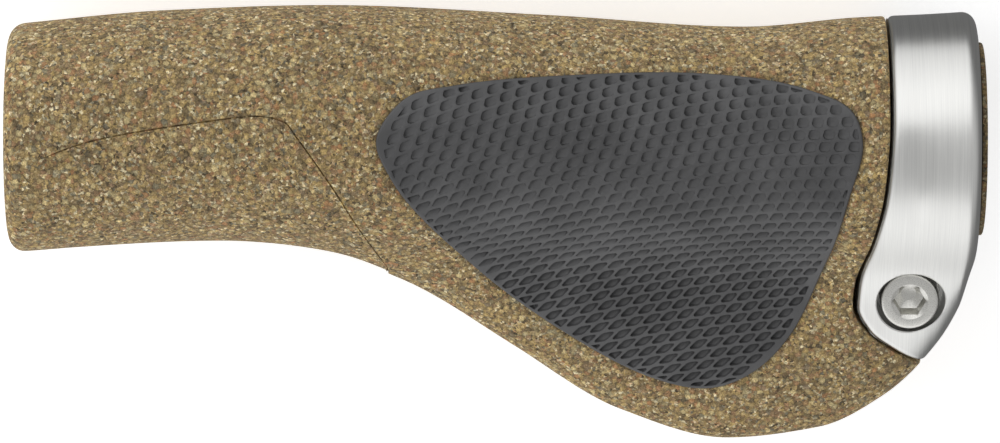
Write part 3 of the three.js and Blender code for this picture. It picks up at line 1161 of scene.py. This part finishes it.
def thread_rings(top, tip):
    """A right-hand thread, faded in over its first turn."""
    angle = full_turn(THREAD_COLUMNS)
    profile = []
    for k in range(int((top - tip - 0.3) / THREAD_PITCH * THREAD_SAMPLES) + 1):
        z = top - k * THREAD_PITCH / THREAD_SAMPLES
        wave = np.abs(((z / THREAD_PITCH - angle / TAU) % 1) * 2 - 1)
        radius = THREAD_ROOT + THREAD_HEIGHT * smoothstep(wave, 0.12, 0.92)
        fade = smoothstep(k / THREAD_SAMPLES, 0, 0.8)
        radius = THREAD_SHANK * (1 - fade) + radius * fade
        profile.append((lambda _, radius=radius: radius, z))
    return posts(profile, THREAD_COLUMNS)


def clamp_bolt():
    top, tip = BOLT_TOP, box_mm("clamp_bolt")[0][2]
    under = top - HEAD_HEIGHT
    socket = hexagon_radius(SOCKET_FLATS, rounding=0.02)
    profile = [
        (1.0, top - 3.5), (1.06, top - 3.48), (socket, top - 2.9), (socket, top - 0.34),
        (2.5, top - 0.06), (2.6, top), (3.6, top), (3.8, top - 0.05), (3.95, top - 0.17),
        (4.05, top - 0.38), (HEAD_RADIUS, top - 0.7), (HEAD_RADIUS, under + 0.15), (4.0, under),
        (2.8, under), (2.5, under - 0.2),
    ]
    rings = posts(profile, THREAD_COLUMNS) + thread_rings(under - 0.4, tip)
    rings += posts([(2.0, tip + 0.12), (1.7, tip)], THREAD_COLUMNS)
    piece = ring_stack("socket_head_bolt", rings, capped=True)
    finish_piece(piece, "bolt", STEEL, "clamp_bolt", 28)


def bolt_washer():
    low, high = box_mm("bolt_washer")
    corners = [(2.75, low[2]), (4.4, low[2]), (4.4, high[2]), (2.75, high[2])]
    loop = [corners[-1], *corners, corners[0]]
    profile = rounded_profile(loop, [0, 0.08, 0.14, 0.14, 0.08, 0], 4)[1:-1]
    piece = ring_stack("flat_washer", posts(profile, 96), closed=True)
    finish_piece(piece, "washer", STEEL, "bolt_washer", 30)


def clamp_nut():
    low, high = box_mm("clamp_nut")
    chamfer = 0.35

    def outside(limit):
        return lambda turn: np.minimum(hexagon_radius(8.0)(turn), limit)

    profile = [
        (2.9, low[2]), (3.85, low[2]), (outside(4.0), low[2] + 0.02), (outside(4.7), low[2] + chamfer),
        (outside(4.7), high[2] - chamfer), (outside(4.0), high[2] - 0.02), (3.85, high[2]),
        (2.9, high[2]), (2.72, high[2] - 0.2), (2.72, low[2] + 0.2),
    ]
    piece = ring_stack("hex_nut", posts(profile, 120), closed=True)
    finish_piece(piece, "clamp_ring", STEEL, "clamp_nut", 30)


# ---- Sleeve, plug and cap ----

PLATE_START, PLATE_END = 60, 112
PLATE_MARGIN = 8
PLATE_HALF = 2
PLATE_ROOT = -11.9
PLATE_HOLES = [(82, -21), (94, -23.5), (106, -24)]
PLATE_HOLE_RADIUS = 4
SLOT_START, SLOT_WIDTH = 113, 2
PLUG_STEM, PLUG_FIN, PLUG_HOLLOW, PLUG_NECK, CAP_SEAT = 8.4, 8.9, 6.4, 12.5, 11.3


def core_sleeve():
    """The tube, slotted where the clamp squeezes it, and the plate inside the wing."""
    end, rim = SLEEVE_END, 0.3
    bore, tube = BORE_RADIUS, SLEEVE_RADIUS
    profile = [
        (bore, 60), (bore, 0.5), (bore + 0.35, 0.05), (bore + 0.5, 0), (tube - 0.12, 0), (tube, 0.12),
        (tube, 60), (tube, end - rim), (tube - rim, end), (bore + rim, end), (bore, end - rim),
    ]
    piece = turned("sleeve_tube", profile, 192, closed=True)
    stations = np.linspace(PLATE_START, PLATE_END, 53)
    edge = [(x, -(wing_reach(x) - PLATE_MARGIN)) for x in stations]
    plan = [(PLATE_START, PLATE_ROOT), *edge, (PLATE_END, PLATE_ROOT)]
    rings = [[(x, y, z) for x, y in plan] for z in (-PLATE_HALF, PLATE_HALF)]
    cut(piece, ring_stack("plate", rings, capped=True), "UNION")
    for x, y in PLATE_HOLES:
        cut(piece, post("hole", [(PLATE_HOLE_RADIUS, -5), (PLATE_HOLE_RADIUS, 5)], 48, (x, y)))
    for k in range(4):
        slot = box_cutter((SLOT_START, 5, -SLOT_WIDTH / 2), (end + 2, 20, SLOT_WIDTH / 2))
        slot.data.transform(Matrix.Rotation(TAU / 8 + k * TAU / 4, 4, "X"))
        cut(piece, slot)
    finish_piece(piece, "grip", NYLON, "core_sleeve", 35)


def plug_body():
    low, high = box_mm("plug_body")
    start, face = float(low[0]), float(high[0])
    stem, fin = PLUG_STEM, PLUG_FIN
    corners = [(0.001, 128), (PLUG_HOLLOW, 128), (PLUG_HOLLOW, start), (stem, start)]
    rounds = [0, 0.6, 0.3, 0.5]
    for k in range(4):
        x = start + 5 * (k + 0.5)
        corners += [(stem, x), (fin, x + 0.1), (fin, x + 0.9), (stem, x + 1)]
        rounds += [0.15, 0.25, 0.25, 0.15]
    corners += [
        (stem, 132), (PLUG_NECK, 132), (PLUG_NECK, face),
        (CAP_SEAT, face), (CAP_SEAT, face - 1), (0.001, face - 1),
    ]
    rounds += [0.5, 0.15, 0.2, 0.12, 0.1, 0]
    piece = turned("bar_end_plug", rounded_profile(corners, rounds, 4), 96)
    finish_piece(piece, "bar_plug", NYLON, "plug_body", 40)


def end_cap():
    low, high = box_mm("end_cap")
    face, radius = float(high[0]), float(high[1])
    stem, back = 11, 134.3
    corners = [
        (0.001, low[0]), (stem, low[0]), (stem, back), (radius, back), (radius, face), (0.001, face),
    ]
    profile = rounded_profile(corners, [0, 0.1, 0.1, 0.12, 0.35, 0], 6)
    piece = turned("cap_disc", profile, 160)
    finish_piece(piece, "bar_plug", CAP_CORK_PAINTED_SHADE, "end_cap", 50)


# ---- Camera, light and floor ----

TILT = math.radians(20)
CAMERA_DISTANCE = 1.0
LOOK_AT = Vector((68.1, -10.8, 3.9)) * MM
VIEW_WIDTH = 138.9 * MM
BOX_DISTANCE = 0.8
ROOM_DARK, ROOM_BRIGHT = 0.16, 0.5
FLOOR_GLOW, FLOOR_HALF, FLOOR_DROP = 0.5, 3000, 0.5


def camera():
    back = Vector((0, math.sin(TILT), math.cos(TILT)))
    up = Vector((0, math.cos(TILT), -math.sin(TILT)))
    data = bpy.data.cameras.new("camera")
    data.lens = data.sensor_width * CAMERA_DISTANCE / VIEW_WIDTH
    obj = new_object("camera", data)
    right = up.cross(back)
    obj.matrix_world = Matrix.Translation(LOOK_AT + back * CAMERA_DISTANCE) @ Matrix(
        (right, up, back)
    ).transposed().to_4x4()
    bpy.context.scene.camera = obj


def soft_light(name, place, size, radiance, mirrored=True, diffuse=True):
    """A rectangle of even light that faces the object. Its radiance is what a mirror shows."""
    data = bpy.data.lights.new(name, "AREA")
    data.shape = "RECTANGLE"
    data.size, data.size_y = size
    data.energy = radiance * math.pi * size[0] * size[1]
    obj = new_object(name, data)
    obj.location = LOOK_AT + Vector(place)
    obj.rotation_euler = (-Vector(place)).to_track_quat("-Z", "Y").to_euler()
    obj.visible_camera = False
    obj.visible_glossy = mirrored
    obj.visible_diffuse = diffuse


def around(side, lean_degrees):
    """A place that leans from overhead towards +Y, with a share of it towards +X."""
    lean = math.radians(lean_degrees)
    return Vector((side, math.sin(lean), math.cos(lean))).normalized() * BOX_DISTANCE


def world_light():
    """A grey room: brighter overhead, dark under the horizon."""
    world = bpy.data.worlds.new("studio")
    world.use_nodes = True
    tree = world.node_tree
    place = tree.nodes.new("ShaderNodeTexCoord")
    split = tree.nodes.new("ShaderNodeSeparateXYZ")
    ramp = tree.nodes.new("ShaderNodeMapRange")
    tree.links.new(place.outputs["Generated"], split.inputs[0])
    tree.links.new(split.outputs["Z"], ramp.inputs["Value"])
    values = {"From Min": -0.25, "From Max": 0.4, "To Min": ROOM_DARK, "To Max": ROOM_BRIGHT}
    for key, value in values.items():
        ramp.inputs[key].default_value = value
    background = tree.nodes["Background"]
    background.inputs["Color"].default_value = (1, 1, 1, 1)
    tree.links.new(ramp.outputs[0], background.inputs["Strength"])
    bpy.context.scene.world = world


def add_floor():
    low, half = cad_box[0][2] / MM - FLOOR_DROP, FLOOR_HALF
    corners = [(-half, -half, low), (half, -half, low), (half, half, low), (-half, half, low)]
    floor = mesh_piece("floor", corners, [(0, 1, 2, 3)])
    n = Nodes("floor")
    n.colour((247, 247, 247))
    n.roughness(0.9)
    n.shader.inputs["Emission Color"].default_value = (1, 1, 1, 1)
    n.shader.inputs["Emission Strength"].default_value = FLOOR_GLOW
    floor.data.materials.append(n.material)
    floor.visible_glossy = False


def studio():
    """Two boxes that only the metal reflects, and three lights that only light surfaces."""
    world_light()
    soft_light("back_box", around(-0.25, 73), (1.4, 1.5), 0.82, diffuse=False)
    soft_light("front_box", around(-0.2, -72), (1.4, 1.4), 0.69, diffuse=False)
    soft_light("back_fill", around(-0.35, 60), (0.9, 1.0), 0.22, mirrored=False)
    soft_light("front_fill", around(-0.35, -66), (0.9, 1.0), 0.76, mirrored=False)
    soft_light("left_key", around(-1.6, 26), (0.5, 0.6), 2.1, mirrored=False)
    add_floor()


view = bpy.context.scene.view_settings
view.view_transform = "Standard"
view.look = "None"
camera()
studio()
grip_body()
palm_pad()
clamp()
clamp_bolt()
bolt_washer()
clamp_nut()
core_sleeve()
plug_body()
end_cap()
